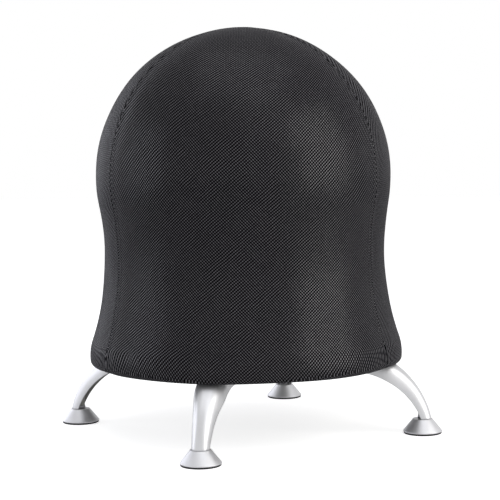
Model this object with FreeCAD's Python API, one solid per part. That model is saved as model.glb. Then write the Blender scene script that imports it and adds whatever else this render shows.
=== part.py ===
import FreeCAD, Part
import math
import os

from FreeCAD import Vector

# Balance ball chair: an inflated ball in a sewn mesh cover, held on a moulded tray with four cast legs
# and screw glides. Millimetres, +Z up, origin on the floor under the middle of the chair.
# The legs point along -Y (front), +X (right), +Y (rear) and -X (left).

# Heights that the rest stands on
seat_height = 583.8
leg_top = 100.0             # the legs' flat mounting face
tray_depth = 17.5           # from there up to the tray's floor

# Cover: the outside line of the seat, turned about the middle axis
dome_radius = 213.3
waist_arc = 396.2           # radius of the hollow arc between the dome and the skirt's flare
flare_arc = 72.1            # radius of the flare
rim_flare = 14.0            # how far the flare's widest place stands outside the dome
rim_lift = 11.0             # height of that place over the skirt's lower edge
skirt_roll = 5.5            # radius that the skirt's lower edge rolls under with
skirt_gap = 0.7             # between the skirt's lower edge and the legs
cover_thickness = 2.5
cover_turn = 13.75          # degrees from the front leg to the middle of the front panel
panel_count = 3
hem_depth = 15.6            # how far the skirt runs inwards under the tray

# Ball
ball_wall = 2.0
ball_foot_curve = 150.0     # radius between the ball's side and its flat foot
valve_hole_radius = 4.0
valve_patch_radius = 16.0
valve_patch_thickness = 7.0

# Hem: a folded binding with an elastic ring in it
binding_width = 10.0
binding_height = 6.6
binding_bevel = 1.8
elastic_width = 6.0
elastic_height = 3.0
elastic_bevel = 0.8

# Tray
tray_wall = 4.0
tray_rim_height = 12.5      # of the rim over the floor
dish_flat_radius = 110.0
dish_rise = 7.5
access_radius = 28.0        # hole that the ball is pumped up through
rib_thickness = 3.0
rib_count = 24
inner_ring_inset = 9.5      # from the legs' inner ends in to the inner ring rib

# Legs
foot_circle_radius = 258.6
leg_inner_end = 108.0
leg_outer_arc = 123.9
leg_outer_rise = 19.8       # how far that arc would rise over the mounting face
leg_under_arc = 104.4
leg_pad_depth = 11.0        # depth of the leg's side walls beside the bolts
leg_end_outside = 12.4      # how far the outer skin passes the glide's axis at the leg's end
leg_end_inside = 0.6        # the same for the edges of the side walls
leg_crown = 35.0            # radius of the outer skin across its width
leg_shoulder = 8.0          # rounding between the outer skin and the side walls
leg_skin = 3.5
leg_plate = 5.5
leg_pad_half_width = 21.5
leg_pad_length = 104.0      # from the inner end to where the plan starts to narrow
leg_knee_half_width = 15.3
leg_knee_reach = 20.0       # where that width is, counted inwards from the glide's axis
leg_end_half_width = 11.0
leg_end_reach = 6.0         # where the last width starts, counted outwards from the glide's axis
leg_plan_round = 40.0
boss_radius = 6.5
boss_skin = 3.2             # metal left over the stem's blind hole

# Fasteners
bolt_radius = 4.0
bolt_head_radius = 7.0
bolt_head_height = 4.4
bolt_socket_flats = 5.0
bolt_socket_depth = 2.6
bolt_crown_height = 2.4     # of the head's domed part
bolt_crown_flat = 4.2       # radius of the flat on the head
bolt_point = 1.0
bolt_engagement = 10.0
first_bolt_inset = 17.0     # from the leg's inner end to the first bolt
bolt_spacing = 40.0
washer_radius = 8.0
washer_thickness = 1.6
insert_radius = 5.1
insert_length = 12.0
insert_depth_gap = 0.5
insert_boss_wall = 3.9

# Glides
glide_base_radius = 27.8
glide_top_radius = 14.0
glide_height = 20.8
glide_wall = 1.6
glide_lip = 1.3
glide_rim_bevel = 0.9
pad_thickness = 2.5
pad_set_in = 0.7
pad_bevel = 0.8
stem_radius = 4.0
stem_head_radius = 8.0
stem_head_thickness = 3.0
stem_hex_flats = 13.0
stem_hex_height = 4.9
stem_point = 0.8
hub_wall = 2.8
hub_foot = 2.0              # bevel between the hub and the disc

# Valve plug
plug_head_radius = 8.0
plug_head_thickness = 2.2
plug_length = 14.0
plug_point = 2.0
plug_round = 1.0

# Clearances
skin_gap = 0.3              # between parts of different bodies that face each other
running_gap = 0.05          # radial gap of a shaft that turns or slides
bolt_hole_gap = 0.5
hem_gap = 0.5
blind_gap = 0.5             # left over the end of the stem and over its captive head

LEG_TURNS = {"front": -90.0, "right": 0.0, "rear": 90.0, "left": 180.0}
Y_AXIS = Vector(0, 1, 0)
Z_AXIS = Vector(0, 0, 1)
ORIGIN = Vector(0, 0, 0)
SPARE = 20.0                # how far a blank runs past the cut that trims it
BIG = 400.0                 # side of a trimming block


# Drawing helpers, in the plane of radius r and height z
def at(r, z):
    return Vector(r, 0, z)


def line(a, b):
    return Part.LineSegment(a, b).toShape()


def along(start, towards, distance):
    """The point at a distance from start in the direction of another point."""
    step = towards.sub(start)
    return start.add(step.multiply(distance / step.Length))


def arc(centre, radius, a, b):
    """The shorter arc from a to b."""
    middle = along(centre, a.add(b).multiply(0.5), radius)
    return Part.Arc(a, middle, b).toShape()


def polygon(points):
    return [line(a, b) for a, b in zip(points, points[1:])]


def turned(edges, angle=360.0, start=0.0):
    """The solid that a closed outline makes when it turns about the middle axis."""
    face = Part.Face(Part.Wire(edges))
    face.rotate(ORIGIN, Z_AXIS, start)
    return face.revolve(ORIGIN, Z_AXIS, angle)


def cylinder(radius, low, high, r=0.0):
    return Part.makeCylinder(radius, high - low, at(r, low), Z_AXIS)


def hexagon(flats, low, high, r=0.0):
    """A hexagonal bar across the given flats."""
    corner = flats / math.sqrt(3)
    points = [
        Vector(r + corner * math.cos(math.radians(60 * k)), corner * math.sin(math.radians(60 * k)), low)
        for k in range(7)
    ]
    face = Part.Face(Part.makePolygon(points))
    return face.extrude(Vector(0, 0, high - low))


def rounded_plan(points, radius):
    """A line of straight runs in the XY plane whose corners are arcs of one radius."""
    edges = []
    last = points[0]
    for before, corner, after in zip(points, points[1:], points[2:]):
        turn = before.sub(corner).getAngle(after.sub(corner))
        cut = radius / math.tan(turn / 2)
        enter = along(corner, before, cut)
        leave = along(corner, after, cut)
        inward = along(corner, before, 1).add(along(corner, after, 1)).multiply(0.5)
        centre = along(corner, inward, math.hypot(radius, cut))
        edges.append(line(last, enter))
        edges.append(arc(centre, radius, enter, leave))
        last = leave
    edges.append(line(last, points[-1]))
    return edges


def mirrored_outline(edges):
    """A closed outline: the edges, their mirror image across the X axis, and the two ends joined."""
    other = [e.mirror(ORIGIN, Y_AXIS) for e in edges]
    first = edges[0].valueAt(edges[0].FirstParameter)
    last = edges[-1].valueAt(edges[-1].LastParameter)
    flip = [Vector(p.x, -p.y, p.z) for p in (first, last)]
    closed = edges + [line(last, flip[1])] + other + [line(flip[0], first)]
    return Part.Wire(Part.__sortEdges__(closed))


def outer_centre_of(a, reach_a, b, reach_b):
    """The point outside the line down from a to b that is reach_a from a and reach_b from b."""
    down = b.sub(a)
    apart = down.Length
    run = (reach_a**2 - reach_b**2 + apart**2) / (2 * apart)
    out = math.sqrt(reach_a**2 - run**2)
    return at(
        a.x + (down.x * run - down.z * out) / apart,
        a.z + (down.z * run + down.x * out) / apart,
    )


# The cover's line: four arcs, each tangent to the next
skirt_bottom = leg_top + skirt_gap
rim_height = skirt_bottom + rim_lift
rim_radius = dome_radius + rim_flare
dome_centre = at(0, seat_height - dome_radius)
flare_centre = at(rim_radius - flare_arc, rim_height)
waist_centre = outer_centre_of(dome_centre, dome_radius + waist_arc, flare_centre, flare_arc + waist_arc)
roll_height = skirt_bottom + skirt_roll
roll_run = math.sqrt((flare_arc - skirt_roll) ** 2 - (rim_height - roll_height) ** 2)
roll_centre = at(flare_centre.x + roll_run, roll_height)
hem_edge = roll_centre.x - hem_depth


def cover_line(inset):
    """The cover's line from the crown to the hem, moved inwards, as its joints."""
    return {
        "crown": at(0, seat_height - inset),
        "dome_end": along(dome_centre, waist_centre, dome_radius - inset),
        "waist_end": along(flare_centre, waist_centre, flare_arc - inset),
        "flare_end": along(flare_centre, roll_centre, flare_arc - inset),
        "roll_end": at(roll_centre.x, skirt_bottom + inset),
        "hem": at(hem_edge, skirt_bottom + inset),
    }


def cover_edges(inset):
    p = cover_line(inset)
    return [
        arc(dome_centre, dome_radius - inset, p["crown"], p["dome_end"]),
        arc(waist_centre, waist_arc + inset, p["dome_end"], p["waist_end"]),
        arc(flare_centre, flare_arc - inset, p["waist_end"], p["flare_end"]),
        arc(roll_centre, skirt_roll - inset, p["flare_end"], p["roll_end"]),
        line(p["roll_end"], p["hem"]),
    ]


def cover_panel(number):
    """One cloth panel, from the crown to the hem, between two seams."""
    outside = cover_line(0)
    inside = cover_line(cover_thickness)
    ends = [line(outside["hem"], inside["hem"]), line(inside["crown"], outside["crown"])]
    edges = cover_edges(0) + cover_edges(cover_thickness) + ends
    sweep = 360.0 / panel_count
    middle = cover_turn - 90.0 + sweep * number
    return turned(Part.__sortEdges__(edges), sweep, middle - sweep / 2)


# Ball: a dome like the cover's, a straight cone below it, and a rounded foot on the tray
tray_floor_height = leg_top + tray_depth
ball_dome = dome_radius - cover_thickness - skin_gap
ball_bottom = tray_floor_height + skin_gap
cone_angle = math.atan2(dome_centre.z - waist_centre.z, waist_centre.x)


def ball_edges(inset):
    """The ball's line from its crown to the middle of its foot, moved inwards."""
    shoulder = along(dome_centre, waist_centre, ball_dome - inset)
    low = ball_bottom + inset
    curve = ball_foot_curve - inset
    cone_foot = shoulder.x - (shoulder.z - low) * math.tan(cone_angle)
    reach = curve * math.tan((math.pi / 2 - cone_angle) / 2)
    corner = at(cone_foot, low)
    enter = along(corner, shoulder, reach)
    flat_edge = at(cone_foot - reach, low)
    return [
        arc(dome_centre, ball_dome - inset, at(0, dome_centre.z + ball_dome - inset), shoulder),
        line(shoulder, enter),
        arc(at(flat_edge.x, low + curve), curve, enter, flat_edge),
        line(flat_edge, at(0, low)),
    ], at(0, dome_centre.z + ball_dome - inset)


def make_ball():
    outside, top = ball_edges(0)
    inside, inner_top = ball_edges(ball_wall)
    shell = turned(outside + [line(at(0, ball_bottom), top)])
    hollow = turned(inside + [line(at(0, ball_bottom + ball_wall), inner_top)])
    patch = cylinder(valve_patch_radius, ball_bottom, ball_bottom + valve_patch_thickness)
    hole = cylinder(valve_hole_radius, ball_bottom - ball_wall, ball_bottom + 2 * valve_patch_thickness)
    return shell.cut(hollow).fuse(patch).cut(hole)


def make_valve_plug():
    """A push-in plug: its shank fills the patch's hole and its head closes the hole from below."""
    shank = valve_hole_radius - running_gap
    head_top = ball_bottom - skin_gap
    tip = head_top + plug_length
    points = [
        at(0, head_top - plug_head_thickness),
        at(plug_head_radius - plug_round, head_top - plug_head_thickness),
        at(plug_head_radius, head_top - plug_head_thickness / 2),
        at(plug_head_radius, head_top),
        at(shank, head_top),
        at(shank, tip - plug_point),
        at(shank - plug_round, tip),
        at(0, tip),
        at(0, head_top - plug_head_thickness),
    ]
    return turned(polygon(points))


# Tray
tray_rim_top = tray_floor_height + tray_rim_height
dish_edge = at(rim_radius - cover_thickness - skin_gap - 2 * tray_wall, tray_floor_height + dish_rise)
dish_slope = dish_rise / (dish_edge.x - dish_flat_radius)
floor_underside = tray_floor_height - tray_wall
binding_inner = hem_edge - skin_gap - binding_width
outer_ring_radius = binding_inner - hem_gap - rib_thickness
inner_ring_radius = leg_inner_end - inner_ring_inset
tray_bottom = skirt_bottom + cover_thickness + skin_gap
hem_clear = skirt_bottom + binding_height + hem_gap


def dish_height(r, below=0.0):
    """Height of the dish's surface, or of a surface below it, at a radius."""
    return tray_floor_height - below + max(0, r - dish_flat_radius) * dish_slope


def tray_shell():
    """The tray's skin: hub, dished floor and the rim that the cover's skirt wraps round."""
    inset = cover_thickness + skin_gap
    p = cover_line(inset)
    lip = tray_wall / 3
    height = tray_rim_top - lip - rim_height
    rise = math.asin(height / (flare_arc - inset))
    outer_top = at(flare_centre.x + (flare_arc - inset) * math.cos(rise), tray_rim_top - lip)
    flare_middle = at(
        flare_centre.x + (flare_arc - inset) * math.cos(rise / 2),
        flare_centre.z + (flare_arc - inset) * math.sin(rise / 2),
    )
    inner_wall = outer_top.x - tray_wall
    under_dish = at(dish_flat_radius, floor_underside)
    around = [
        p["roll_end"],
        at(inner_wall, tray_bottom),
        at(inner_wall, dish_height(inner_wall, tray_wall)),
        under_dish,
        at(access_radius + tray_wall, floor_underside),
        at(access_radius + tray_wall, tray_bottom),
        at(access_radius, tray_bottom),
        at(access_radius, tray_floor_height),
        at(dish_flat_radius, tray_floor_height),
        dish_edge,
        at(inner_wall, dish_edge.z + tray_wall / 2),
        at(inner_wall, tray_rim_top - lip),
        at(inner_wall + lip, tray_rim_top),
        at(outer_top.x - lip, tray_rim_top),
        outer_top,
    ]
    flare = Part.Arc(outer_top, flare_middle, p["flare_end"]).toShape()
    edges = [flare, line(p["flare_end"], p["roll_end"])]
    return turned(edges + polygon(around)), inner_wall


def ring_rib(radius, bottom):
    top = dish_height(radius, tray_wall / 2)
    return cylinder(radius + rib_thickness, bottom, top).cut(cylinder(radius, bottom, top))


def radial_rib(angle, rim_inside):
    """A rib from the hub to the rim, cut up over the hem."""
    step = outer_ring_radius + rib_thickness / 2
    half_skin = tray_wall / 2
    points = [
        at(access_radius + half_skin, tray_bottom),
        at(step, tray_bottom),
        at(step, hem_clear),
        at(rim_inside + half_skin / 2, hem_clear),
        at(rim_inside + half_skin / 2, dish_height(rim_inside, half_skin)),
        at(step, dish_height(step, half_skin)),
        at(dish_flat_radius, dish_height(dish_flat_radius, half_skin)),
        at(access_radius + half_skin, dish_height(access_radius, half_skin)),
    ]
    face = Part.Face(Part.makePolygon(points + [points[0]]))
    face.translate(Vector(0, -rib_thickness / 2, 0))
    rib = face.extrude(Vector(0, rib_thickness, 0))
    rib.rotate(ORIGIN, Z_AXIS, angle)
    return rib


def bolt_places():
    first = leg_inner_end + first_bolt_inset
    return [first, first + bolt_spacing]


def leg_mount():
    """The hollow block under the floor that one leg bolts to, along +X, with two insert bosses."""
    inner = leg_inner_end
    half = leg_pad_half_width
    outer = math.sqrt((outer_ring_radius + rib_thickness) ** 2 - half**2)
    wall = rib_thickness
    top = floor_underside + tray_wall / 2
    block = Part.makeBox(outer - inner, 2 * half, top - leg_top, Vector(inner, -half, leg_top))
    core = Part.makeBox(
        outer - inner - 2 * wall,
        2 * (half - wall),
        floor_underside - leg_top,
        Vector(inner + wall, wall - half, leg_top),
    )
    block = block.makeFillet(wall, [e for e in block.Edges if is_upright(e)])
    web = Part.makeBox(outer - inner, wall, top - leg_top, Vector(inner, -wall / 2, leg_top))
    shape = block.cut(core).fuse(web)
    outside = insert_radius + insert_boss_wall
    for r in bolt_places():
        shape = shape.fuse(cylinder(outside, leg_top, top, r))
    return shape


def is_upright(edge):
    a, b = edge.Vertexes[0].Point, edge.Vertexes[-1].Point
    return abs(a.x - b.x) + abs(a.y - b.y) < 1e-6


def make_tray():
    shell, rim_inside = tray_shell()
    pieces = [ring_rib(inner_ring_radius, tray_bottom), ring_rib(outer_ring_radius, tray_bottom)]
    pieces += [radial_rib(360.0 * k / rib_count, rim_inside) for k in range(rib_count)]
    for turn in LEG_TURNS.values():
        pieces.append(placed(leg_mount(), turn))
    tray = shell.fuse(pieces)
    depth = insert_length + insert_depth_gap
    for turn in LEG_TURNS.values():
        for r in bolt_places():
            hole = cylinder(insert_radius, leg_top - SPARE, leg_top + depth, r)
            tray = tray.cut(placed(hole, turn))
    return tray.removeSplitter()


def placed(shape, turn):
    """A copy turned from +X to one of the legs."""
    copy = shape.copy()
    copy.rotate(ORIGIN, Z_AXIS, turn)
    return copy


# Legs
leg_end_height = glide_height + 2 * skin_gap


def arc_centre(radius, height, end_r):
    """The centre, at a height, of an arc that ends at end_r at the leg's lower end."""
    return at(end_r - math.sqrt(radius**2 - (leg_end_height - height) ** 2), height)


outer_height = leg_top + leg_outer_rise - leg_outer_arc
outer_centre = arc_centre(leg_outer_arc, outer_height, foot_circle_radius + leg_end_outside)
under_height = leg_top - leg_pad_depth - leg_under_arc
under_centre = arc_centre(leg_under_arc, under_height, foot_circle_radius - leg_end_inside)


def leg_envelope(inset):
    """The leg's outside before its flat faces are cut: a crowned skin bent round an arc, between the
    plan's narrowing sides. With an inset it is the channel's hollow."""
    crown = leg_crown - inset
    reach = (leg_pad_half_width + crown) / 2
    top = outer_centre.z + leg_outer_arc - inset
    drop = crown - math.sqrt(crown**2 - reach**2)
    centre = outer_centre.x
    corners = [Vector(centre, side * reach, top - drop) for side in (-1, 1)]
    feet = [Vector(centre, side * reach, outer_centre.z + leg_outer_arc / 2) for side in (1, -1)]
    section = [
        Part.Arc(corners[0], Vector(centre, 0, top), corners[1]).toShape(),
        line(corners[1], feet[0]),
        line(feet[0], feet[1]),
        line(feet[1], corners[0]),
    ]
    face = Part.Face(Part.Wire(section))
    back = math.degrees(math.atan2(centre - leg_inner_end + SPARE, outer_centre.z + leg_outer_arc))
    ahead = math.degrees(math.acos((leg_end_height - outer_centre.z - SPARE) / leg_outer_arc))
    face.rotate(outer_centre, Y_AXIS, -back)
    bent = face.revolve(outer_centre, Y_AXIS, back + ahead)
    half = leg_pad_half_width - inset
    end_half = leg_end_half_width - inset
    points = [
        at(leg_inner_end - SPARE, half),
        at(leg_inner_end + leg_pad_length, half),
        at(foot_circle_radius - leg_knee_reach, leg_knee_half_width - inset),
        at(foot_circle_radius + leg_end_reach, end_half),
        at(foot_circle_radius + leg_end_outside + SPARE, end_half),
    ]
    plan = rounded_plan([Vector(p.x, p.z, leg_end_height - SPARE) for p in points], leg_plan_round)
    prism = Part.Face(mirrored_outline(plan)).extrude(Vector(0, 0, leg_top + SPARE))
    return bent.common(prism)


def is_shoulder(edge, inset):
    """Whether an edge runs along the leg where the crowned skin meets a side wall."""
    crown = leg_crown - inset
    length = edge.LastParameter - edge.FirstParameter
    points = [edge.valueAt(edge.FirstParameter + share * length) for share in (0.3, 0.7)]
    for p in points:
        ring = math.hypot(p.x - outer_centre.x, p.z - outer_centre.z)
        if abs(p.y) >= crown:
            return False
        skin = leg_outer_arc - leg_crown + math.sqrt(crown**2 - p.y**2)
        if abs(ring - skin) > running_gap:
            return False
    return points[0].y * points[1].y > 0


def rounded_envelope(inset):
    """The envelope with its skin rounded into its side walls, so that the cast wall stays even."""
    envelope = leg_envelope(inset)
    shoulders = [edge for edge in envelope.Edges if is_shoulder(edge, inset)]
    return envelope.makeFillet(leg_shoulder - inset, shoulders)


def block(inner, outer, low, high):
    """A wide trimming block between two radii and two heights."""
    return Part.makeBox(outer - inner, BIG, high - low, Vector(inner, -BIG / 2, low))


def crosswise(radius, centre):
    """A wide cylinder across the leg."""
    return Part.makeCylinder(radius, BIG, Vector(centre.x, -BIG / 2, centre.z), Y_AXIS)


def stem_bore_top():
    """How high the stem's blind hole can go under the curved skin."""
    side = foot_circle_radius + stem_radius + running_gap - outer_centre.x
    return outer_centre.z + math.sqrt((leg_outer_arc - boss_skin) ** 2 - side**2)


boss_bottom = glide_height + skin_gap + stem_hex_height + skin_gap


def make_leg():
    """A cast leg along +X: an open channel, bent down to the foot, with a flat bolted pad on top."""
    blank = rounded_envelope(0).common(block(leg_inner_end, BIG, leg_end_height, leg_top))
    under = crosswise(leg_under_arc, under_centre)
    flat = block(leg_inner_end - SPARE, under_centre.x, -BIG, leg_top - leg_pad_depth)
    walls = blank.cut(under).cut(flat)
    inside = block(leg_inner_end + leg_skin, BIG, -BIG, leg_top - leg_plate)
    hollow = rounded_envelope(leg_skin).common(inside)
    bore_top = stem_bore_top()
    boss = cylinder(boss_radius, boss_bottom, leg_top, foot_circle_radius)
    boss = boss.common(crosswise(leg_outer_arc - leg_skin / 2, outer_centre))
    leg = walls.cut(hollow).fuse(boss)
    for r in bolt_places():
        leg = leg.cut(cylinder(bolt_radius + bolt_hole_gap, leg_end_height, leg_top + SPARE, r))
    stem_hole = cylinder(stem_radius + running_gap, leg_end_height, bore_top, foot_circle_radius)
    return leg.cut(stem_hole).removeSplitter()


# Fasteners of one leg, along +X
bolt_seat = leg_top - leg_plate


def make_bolts():
    bolts = []
    head_top = bolt_seat - washer_thickness
    head_bottom = head_top - bolt_head_height
    top = leg_top + bolt_engagement
    crown_edge = head_bottom + bolt_crown_height
    outline = [
        at(0, head_bottom),
        at(bolt_crown_flat, head_bottom),
        at((bolt_crown_flat + 2 * bolt_head_radius) / 3, head_bottom + bolt_crown_height / 3),
        at(bolt_head_radius, crown_edge),
        at(bolt_head_radius, head_top),
        at(bolt_radius, head_top),
        at(bolt_radius, top - bolt_point),
        at(bolt_radius - bolt_point, top),
        at(0, top),
        at(0, head_bottom),
    ]
    bolt = turned(polygon(outline))
    socket = hexagon(bolt_socket_flats, head_bottom - bolt_head_height, head_bottom + bolt_socket_depth)
    for r in bolt_places():
        one = bolt.cut(socket)
        one.translate(at(r, 0))
        bolts.append(one)
    return bolts


def make_washers():
    hole = bolt_radius + bolt_hole_gap
    return [
        cylinder(washer_radius, bolt_seat - washer_thickness, bolt_seat, r).cut(
            cylinder(hole, bolt_seat - 2 * washer_thickness, bolt_seat + washer_thickness, r)
        )
        for r in bolt_places()
    ]


def make_inserts():
    bore = bolt_radius + running_gap
    return [
        cylinder(insert_radius, leg_top, leg_top + insert_length, r).cut(
            cylinder(bore, leg_top - SPARE, leg_top + insert_length + SPARE, r)
        )
        for r in bolt_places()
    ]


# Glides, along +X
def glide_side(height, inset=0.0):
    """Radius of the cup's cone at a height."""
    slope = (glide_base_radius - glide_top_radius) / (glide_height - pad_thickness - glide_lip)
    return glide_top_radius + (glide_height - height) * slope - inset * math.hypot(1, slope)


def make_glide_cup():
    base = pad_thickness
    lip_top = base + glide_lip
    hole = stem_radius + skin_gap + running_gap
    inner_top = glide_height - glide_wall
    inner_base = glide_side(lip_top, glide_wall)
    points = [
        at(hole, inner_top),
        at(glide_side(inner_top, glide_wall), inner_top),
        at(inner_base, lip_top),
        at(inner_base, base),
        at(glide_base_radius, base),
        at(glide_base_radius, lip_top),
        at(glide_side(glide_height - glide_rim_bevel), glide_height - glide_rim_bevel),
        at(glide_top_radius - glide_rim_bevel, glide_height),
        at(hole, glide_height),
        at(hole, inner_top),
    ]
    cup = turned(polygon(points))
    cup.translate(at(foot_circle_radius, 0))
    return cup


head_top = glide_height - glide_wall - skin_gap
head_bottom = head_top - stem_head_thickness


def make_glide_pad():
    """The nylon foot: a disc on the floor, and a hub that carries the stem's head."""
    socket = stem_head_radius + running_gap
    hub = socket + hub_wall
    hub_top = head_top - blind_gap
    disc = glide_base_radius - pad_set_in
    plug_top = pad_thickness + glide_lip
    inner = glide_side(plug_top, glide_wall) - skin_gap
    points = [
        at(0, 0),
        at(disc - pad_bevel, 0),
        at(disc, pad_bevel),
        at(disc, pad_thickness),
        at(inner, pad_thickness),
        at(inner, plug_top),
        at(hub + hub_foot, plug_top),
        at(hub, plug_top + hub_foot),
        at(hub, hub_top),
        at(socket, hub_top),
        at(socket, head_bottom - skin_gap),
        at(0, head_bottom - skin_gap),
        at(0, 0),
    ]
    pad = turned(polygon(points))
    pad.translate(at(foot_circle_radius, 0))
    return pad


def make_glide_stem():
    """A threaded stem with a captive head below and flats for a spanner above the cup."""
    top = stem_bore_top() - blind_gap
    r = foot_circle_radius
    hex_low = glide_height + skin_gap
    stem = cylinder(stem_radius, head_bottom, top, r)
    rim = [e for e in stem.Edges if abs(e.BoundBox.ZMin - top) < running_gap]
    stem = stem.makeChamfer(stem_point, rim)
    head = cylinder(stem_head_radius, head_bottom, head_top, r)
    collar = hexagon(stem_hex_flats, hex_low, hex_low + stem_hex_height, r)
    return stem.fuse([head, collar]).removeSplitter()


# Hem
def hem_ring(width, height, bevel):
    """A ring round the hem's middle line, with a bevelled rectangle as its section."""
    r = binding_inner + binding_width / 2
    z = skirt_bottom + binding_height / 2
    half = width / 2
    rise = height / 2
    points = [
        at(r - half + bevel, z - rise),
        at(r + half - bevel, z - rise),
        at(r + half, z - rise + bevel),
        at(r + half, z + rise - bevel),
        at(r + half - bevel, z + rise),
        at(r - half + bevel, z + rise),
        at(r - half, z + rise - bevel),
        at(r - half, z - rise + bevel),
    ]
    return turned(polygon(points + [points[0]]))


def make_hem_binding():
    """The folded tape round the skirt's inner edge, with the tunnel for the elastic."""
    wide = elastic_width + 2 * running_gap
    high = elastic_height + 2 * running_gap
    tunnel = hem_ring(wide, high, elastic_bevel)
    return hem_ring(binding_width, binding_height, binding_bevel).cut(tunnel)


def make_hem_elastic():
    return hem_ring(elastic_width, elastic_height, elastic_bevel)


def save(name, shape):
    solids = shape.Solids
    if not shape.isValid() or not solids:
        raise ValueError(name + " is not a valid solid")
    shape.exportStep("parts/" + name + ".step")
    print(name, "solids", len(solids), "volume", round(shape.Volume / 1000, 2), "cm3")


def save_on_legs(name, solids):
    """Copies of the solids of one leg on all four legs, as one node."""
    copies = [placed(solid, turn) for turn in LEG_TURNS.values() for solid in solids]
    save(name, Part.makeCompound(copies))


os.makedirs("parts", exist_ok=True)
save("base_tray", make_tray())
leg = make_leg()
cup = make_glide_cup()
pad = make_glide_pad()
stem = make_glide_stem()
for side, turn in LEG_TURNS.items():
    save("leg_" + side, placed(leg, turn))
    save("glide_cup_" + side, placed(cup, turn))
    save("glide_pad_" + side, placed(pad, turn))
    save("glide_stem_" + side, placed(stem, turn))
save_on_legs("leg_bolts", make_bolts())
save_on_legs("leg_washers", make_washers())
save_on_legs("leg_inserts", make_inserts())
save("ball", make_ball())
save("valve_plug", make_valve_plug())
for number, side in enumerate(("front", "right", "left")):
    save("cover_" + side, cover_panel(number))
save("hem_binding", make_hem_binding())
save("hem_elastic", make_hem_elastic())
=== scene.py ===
# %% [markdown]
# A balance ball chair: an inflated ball under a sewn cover of black air mesh, on a round moulded tray
# with four curved silver legs and screw glides. The construction is loaded first as a fixed frame,
# in metres, with +Z up and the legs along the four axes. Everything below only dresses that frame,
# so each new piece sits where the frame says and rides with the frame's body that carries it.

# %% Load the frame
import math

import bpy
import numpy as np
from mathutils import Matrix, Vector


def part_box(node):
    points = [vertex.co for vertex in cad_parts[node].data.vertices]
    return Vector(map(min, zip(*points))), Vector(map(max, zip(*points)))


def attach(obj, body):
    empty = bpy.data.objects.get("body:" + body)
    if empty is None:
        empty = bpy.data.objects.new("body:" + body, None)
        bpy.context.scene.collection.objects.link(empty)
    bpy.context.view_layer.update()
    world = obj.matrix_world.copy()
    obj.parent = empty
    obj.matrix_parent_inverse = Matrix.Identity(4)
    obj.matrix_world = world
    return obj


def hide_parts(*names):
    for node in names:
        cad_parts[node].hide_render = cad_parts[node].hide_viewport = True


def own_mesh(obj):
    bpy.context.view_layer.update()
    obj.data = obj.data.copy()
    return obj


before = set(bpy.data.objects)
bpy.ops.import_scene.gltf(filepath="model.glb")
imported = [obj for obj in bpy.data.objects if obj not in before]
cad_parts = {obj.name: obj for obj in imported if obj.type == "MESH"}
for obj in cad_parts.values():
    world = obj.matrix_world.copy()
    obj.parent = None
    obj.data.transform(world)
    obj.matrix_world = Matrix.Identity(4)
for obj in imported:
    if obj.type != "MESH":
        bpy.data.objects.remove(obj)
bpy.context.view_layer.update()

# %% [markdown]
# The same few moves come back for every piece, so they are written once. An operator acts on all
# that is selected, so each helper first clears the selection. A line is drawn by extruding one
# vertex from point to point, and a turned piece is that line spun round an upright axis, as on a
# lathe. Spinning can turn a shape inside out, so doubles are merged first and the normals are then
# recalculated.

# %% Modelling helpers
MM = 0.001
UP = Vector((0, 0, 1))
LEG_DIRECTIONS = {"front": -90.0, "right": 0.0, "rear": 90.0, "left": 180.0}


def clear():
    bpy.ops.object.select_all(action="DESELECT")


def pick(obj):
    """Makes obj the only selected and active object."""
    clear()
    obj.select_set(True)
    bpy.context.view_layer.objects.active = obj
    return obj


def enter(obj, mode="VERT"):
    """Goes into edit mode with everything selected."""
    pick(obj)
    bpy.ops.object.mode_set(mode="EDIT")
    bpy.ops.mesh.select_mode(type=mode)
    bpy.ops.mesh.select_all(action="SELECT")


def leave():
    bpy.ops.object.mode_set(mode="OBJECT")


def smooth_below(obj, degrees):
    """Smooths the shading across every edge that is flatter than the angle."""
    pick(obj)
    bpy.ops.object.shade_smooth_by_angle(angle=math.radians(degrees))
    return obj


def tidy(obj, degrees=35.0):
    """Merges doubles, turns the faces outwards and smooths all but the sharp edges."""
    enter(obj)
    bpy.ops.mesh.remove_doubles(threshold=0.01 * MM)
    bpy.ops.mesh.normals_make_consistent(inside=False)
    leave()
    return smooth_below(obj, degrees)


def settle(obj):
    """Puts the object's place, turn and size into its mesh."""
    pick(obj)
    bpy.ops.object.transform_apply(location=True, rotation=True, scale=True)
    return obj


def modify(obj, kind, **settings):
    """Adds a modifier with its settings and applies it."""
    pick(obj)
    modifier = obj.modifiers.new(kind.title(), kind)
    for key, value in settings.items():
        setattr(modifier, key, value)
    bpy.ops.object.modifier_apply(modifier=modifier.name)
    return obj


def round_edges(obj, width, **settings):
    return modify(obj, "BEVEL", width=width, segments=2, **settings)


def bar(sides, radius, low, high, x=0.0):
    """An upright bar: a hexagon with six sides, and all but a cylinder with forty."""
    clear()
    bpy.ops.mesh.primitive_cylinder_add(
        vertices=sides, radius=radius, depth=high - low, location=(x, 0, (low + high) / 2))
    return settle(bpy.context.object)


def draw_line(name, points):
    """An edge line through the points, left in edit mode with its first vertex unselected."""
    clear()
    bpy.ops.mesh.primitive_plane_add(size=MM, location=points[0], calc_uvs=False)
    obj = bpy.context.object
    obj.name = name
    settle(obj)
    enter(obj)
    bpy.ops.mesh.merge(type="CENTER")
    for a, b in zip(points, points[1:]):
        step = Vector(b) - Vector(a)
        bpy.ops.mesh.extrude_vertices_move(TRANSFORM_OT_translate={"value": step})
    return obj


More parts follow.
